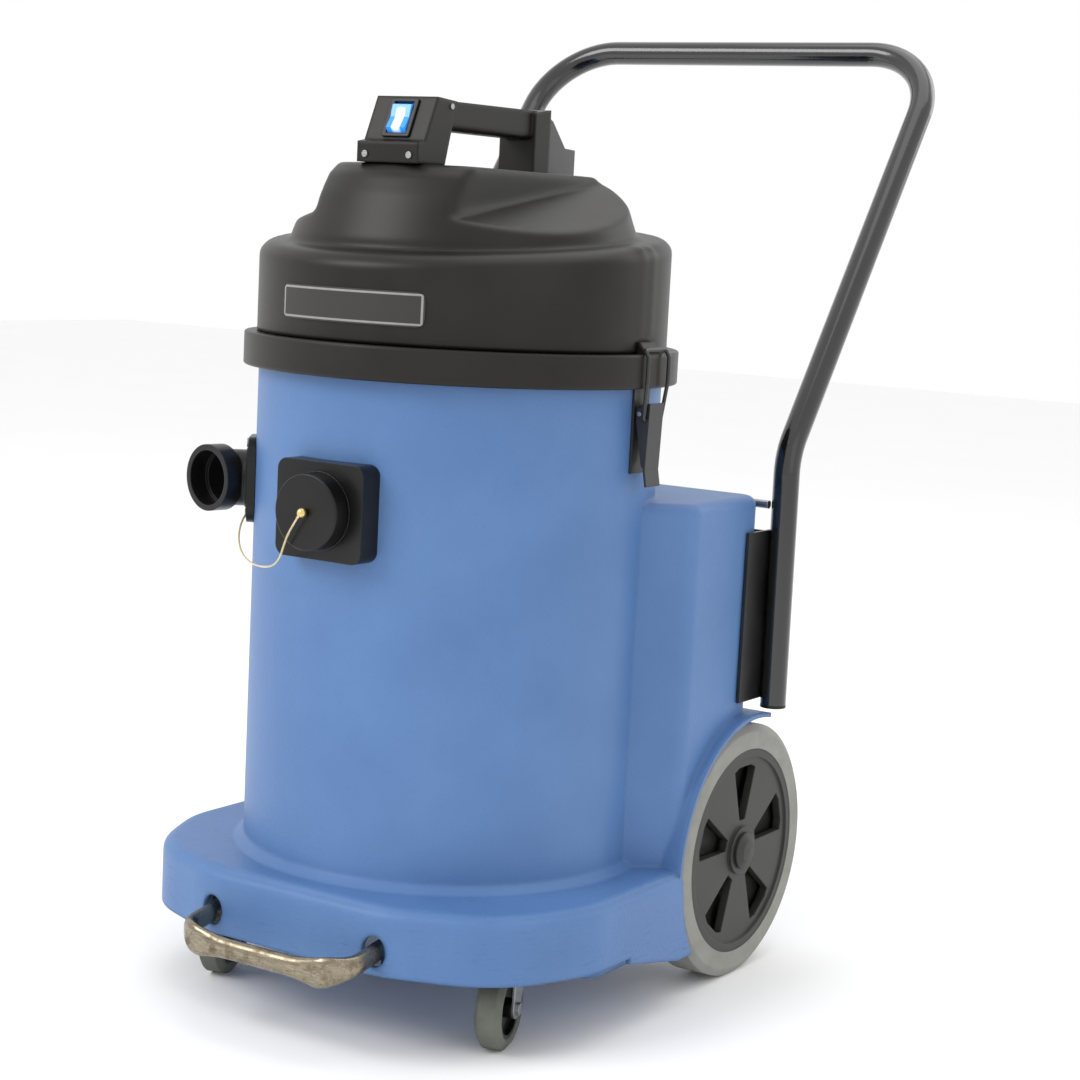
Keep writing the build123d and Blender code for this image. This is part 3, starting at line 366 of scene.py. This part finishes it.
def tether():
    """The cap's tether, from the rivet's stub to the lower screw of the inlet."""
    # degrees left of the front, distance from the drum's axis, height
    stops = [(0.6, 0.231, 0.4604), (2.8, 0.231, 0.448), (4.6, 0.2295, 0.434), (6.8, 0.2245, 0.422),
             (11, 0.218, 0.412), (18, 0.212, 0.4075), (26.5, 0.207, 0.407), (35, 0.204, 0.4105),
             (43, 0.202, 0.418), (48, 0.200, 0.4275), (51.2, 0.1968, 0.4355), (53.58, 0.19462, 0.4385)]
    points = []
    for angle, out, z in stops:
        turn = radians(angle)
        points.append((-out * sin(turn), drum_y - out * cos(turn), z))
    data = bpy.data.curves.new("tether", "CURVE")
    data.dimensions = "3D"
    data.bevel_depth = 0.0009
    data.bevel_resolution = 4
    data.resolution_u = 12
    spline = data.splines.new("NURBS")
    spline.points.add(len(points) - 1)
    for point, place in zip(spline.points, points):
        point.co = (*place, 1)
    spline.order_u = 3
    spline.use_endpoint_u = True
    piece = bpy.data.objects.new("tether", data)
    scene.collection.objects.link(piece)
    data.materials.append(finishes["tether_line"])
    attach(piece, "cap")
    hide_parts("cap_tether")
    return piece


def tipping_bar():
    """Flattened bar bent at both ends, with tall dimpled lobes at its corners."""
    low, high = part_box("tipping_bar")
    half_depth = 0.007
    half_width = (high.x - low.x) / 2 - half_depth
    bend_r = 0.026
    front = low.y + half_depth
    back = high.y - 0.004
    foot_z = 0.093
    front_z = 0.080
    leg = back - front - bend_r
    bend = bend_r * pi / 2
    half_length = leg + bend + half_width - bend_r
    rings = 132
    around = 28
    mesh = bpy.data.meshes.new("tipping_bar_shaped")
    form = bmesh.new()
    rows = []
    for ring in range(rings + 1):
        travel = 2 * half_length * ring / rings
        side = -1 if travel < half_length else 1
        distance = min(travel, 2 * half_length - travel)
        if distance < leg:
            centre = Vector((side * half_width, back - distance, 0))
            out = Vector((side, 0, 0))
        elif distance < leg + bend:
            turn = (distance - leg) / bend_r
            across = half_width - bend_r * (1 - cos(turn))
            centre = Vector((side * across, back - leg - bend_r * sin(turn), 0))
            out = Vector((side * cos(turn), -sin(turn), 0))
        else:
            centre = Vector((side * (half_length - distance), front, 0))
            out = Vector((0, -1, 0))
        fall = min(1.0, distance / (leg + bend))
        centre.z = foot_z + (front_z - foot_z) * fall
        lobe = exp(-((distance - leg - bend * 0.85) / 0.020) ** 2)
        tall = 0.0092 + 0.0045 * lobe
        deep = 0.0066 - 0.0008 * lobe
        row = []
        for step in range(around):
            angle = 2 * pi * step / around
            dent = 0.0016 * lobe * max(0.0, cos(angle)) ** 6
            rise = Vector((0, 0, tall * sin(angle)))
            row.append(form.verts.new(centre + out * (deep * cos(angle) - dent) + rise))
        rows.append(row)
    for before, after in zip(rows, rows[1:]):
        for step in range(around):
            following = (step + 1) % around
            form.faces.new((before[step], before[following], after[following], after[step]))
    form.faces.new(rows[0][::-1])
    form.faces.new(rows[-1])
    bmesh.ops.recalc_face_normals(form, faces=form.faces)
    form.to_mesh(mesh)
    form.free()
    return piece_from(mesh, "tipping_bar_shaped", "tipping_bar", "chassis")


def window_shade_back(side, direction):
    """Dished dark backing with radial ribs behind a rear wheel, which closes the windows from behind as
    painted shade for the shadowed well seen through them.
    """
    low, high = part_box("wheel_disc_" + side)
    middle = (low + high) / 2
    face = high.x if direction > 0 else low.x
    around = 120
    rings = 14
    inner_r = 0.025
    outer_r = 0.0915
    set_back = 0.0165
    ribs = 10
    form = bmesh.new()
    grid = []
    for ring in range(rings + 1):
        r = inner_r + (outer_r - inner_r) * ring / rings
        dish = 0.006 * sin(pi * ring / rings)
        row = []
        for step in range(around):
            angle = 2 * pi * step / around
            rib = 0.0022 * max(0.0, cos(ribs * angle)) ** 8 * sin(pi * ring / rings)
            x = face - direction * (set_back + dish - rib)
            row.append(form.verts.new((x, middle.y + r * cos(angle), middle.z + r * sin(angle))))
        grid.append(row)
    for inner, outer in zip(grid, grid[1:]):
        for step in range(around):
            following = (step + 1) % around
            form.faces.new((inner[step], inner[following], outer[following], outer[step]))
    bmesh.ops.recalc_face_normals(form, faces=form.faces)
    mesh = bpy.data.meshes.new("window_shade_back_" + side)
    form.to_mesh(mesh)
    form.free()
    for polygon in mesh.polygons:
        polygon.use_smooth = True
    piece = bpy.data.objects.new("window_shade_back_" + side, mesh)
    scene.collection.objects.link(piece)
    # dark wheel finish on the backing: painted shade of the well behind the wheel's windows
    coat_with(piece, finishes["wheel_black"])
    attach(piece, "rear_wheel_" + side)
    wall = piece.modifiers.new("wall", "SOLIDIFY")
    wall.thickness = 0.002
    wall.offset = 0


def moulded_cover():
    """The head's cover with its edges rounded as a moulding's are, as a thin shell."""
    source = frame["nodes"]["head_cover"]
    corners = [vertex.co for vertex in source.data.vertices]
    tree = BVHTree.FromPolygons(corners, [polygon.vertices for polygon in source.data.polygons])
    low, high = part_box("head_cover")
    heart = Vector((0, drum_y, low.z + 0.028))
    around = 288
    rows = 150
    lowest = radians(-8.1)
    highest = radians(89.0)
    reach = 0.5
    form = bmesh.new()
    grid = []
    for row in range(rows):
        tilt = lowest + (highest - lowest) * row / (rows - 1)
        ring = []
        for step in range(around):
            angle = 2 * pi * step / around
            direction = Vector((cos(angle) * cos(tilt), sin(angle) * cos(tilt), sin(tilt)))
            ring.append(form.verts.new(tree.ray_cast(heart + direction * reach, -direction, reach)[0]))
        grid.append(ring)
    pole = form.verts.new(Vector((0, drum_y, high.z)))
    for below, above in zip(grid, grid[1:]):
        for step in range(around):
            following = (step + 1) % around
            form.faces.new((below[step], below[following], above[following], above[step]))
    for step in range(around):
        form.faces.new((grid[-1][step], grid[-1][(step + 1) % around], pole))
    free = [vertex for ring in grid[2:] for vertex in ring]
    for _ in range(7):
        bmesh.ops.smooth_vert(form, verts=free, factor=0.5, use_axis_x=True, use_axis_y=True, use_axis_z=True)
    bmesh.ops.recalc_face_normals(form, faces=form.faces)
    mesh = bpy.data.meshes.new("head_cover_moulded")
    form.to_mesh(mesh)
    form.free()
    piece = piece_from(mesh, "head_cover_moulded", "head_cover", "head")
    shell = piece.modifiers.new("wall", "SOLIDIFY")
    shell.thickness = 0.003
    shell.offset = -1
    return piece


tether()
tipping_bar()
window_shade_back("left", -1)
window_shade_back("right", 1)
moulded_cover()


# ---- room and light -----------------------------------------------------------------

def floor():
    mesh = bpy.data.meshes.new("floor")
    form = bmesh.new()
    bmesh.ops.create_grid(form, x_segments=2, y_segments=2, size=9)
    form.to_mesh(mesh)
    form.free()
    ground = bpy.data.objects.new("floor", mesh)
    scene.collection.objects.link(ground)
    material, shader, place = finish("pale_floor", specular=0.2)
    tone = place.noise(3.0).blend(shade(247, 247, 247), shade(250, 250, 250))
    connect(shader, place, tone, 0.7)
    mesh.materials.append(material)


def lamp(name, place, aim, width, height, power):
    data = bpy.data.lights.new(name, "AREA")
    data.shape = "RECTANGLE"
    data.size = width
    data.size_y = height
    data.energy = power
    light = bpy.data.objects.new(name, data)
    scene.collection.objects.link(light)
    light.location = place
    light.rotation_mode = "QUATERNION"
    light.rotation_quaternion = (Vector(aim) - Vector(place)).to_track_quat("-Z", "Y")


def sky():
    world = bpy.data.worlds.new("studio")
    world.use_nodes = True
    background = world.node_tree.nodes["Background"]
    background.inputs["Color"].default_value = (1.0, 1.0, 1.0, 1)
    background.inputs["Strength"].default_value = 1.0
    scene.world = world


machine_middle = (0, drum_y, 0.45)
floor()
lamp("key", (-1.5, -2.6, 2.6), machine_middle, 2.0, 1.6, 54)
lamp("fill", (2.8, -1.2, 1.5), machine_middle, 1.8, 2.2, 4)
lamp("top", (0.3, 0.4, 3.0), machine_middle, 2.4, 2.4, 18)
lamp("rear", (1.2, 2.6, 1.8), machine_middle, 1.4, 1.8, 10)
sky()
scene.view_settings.view_transform = "Standard"
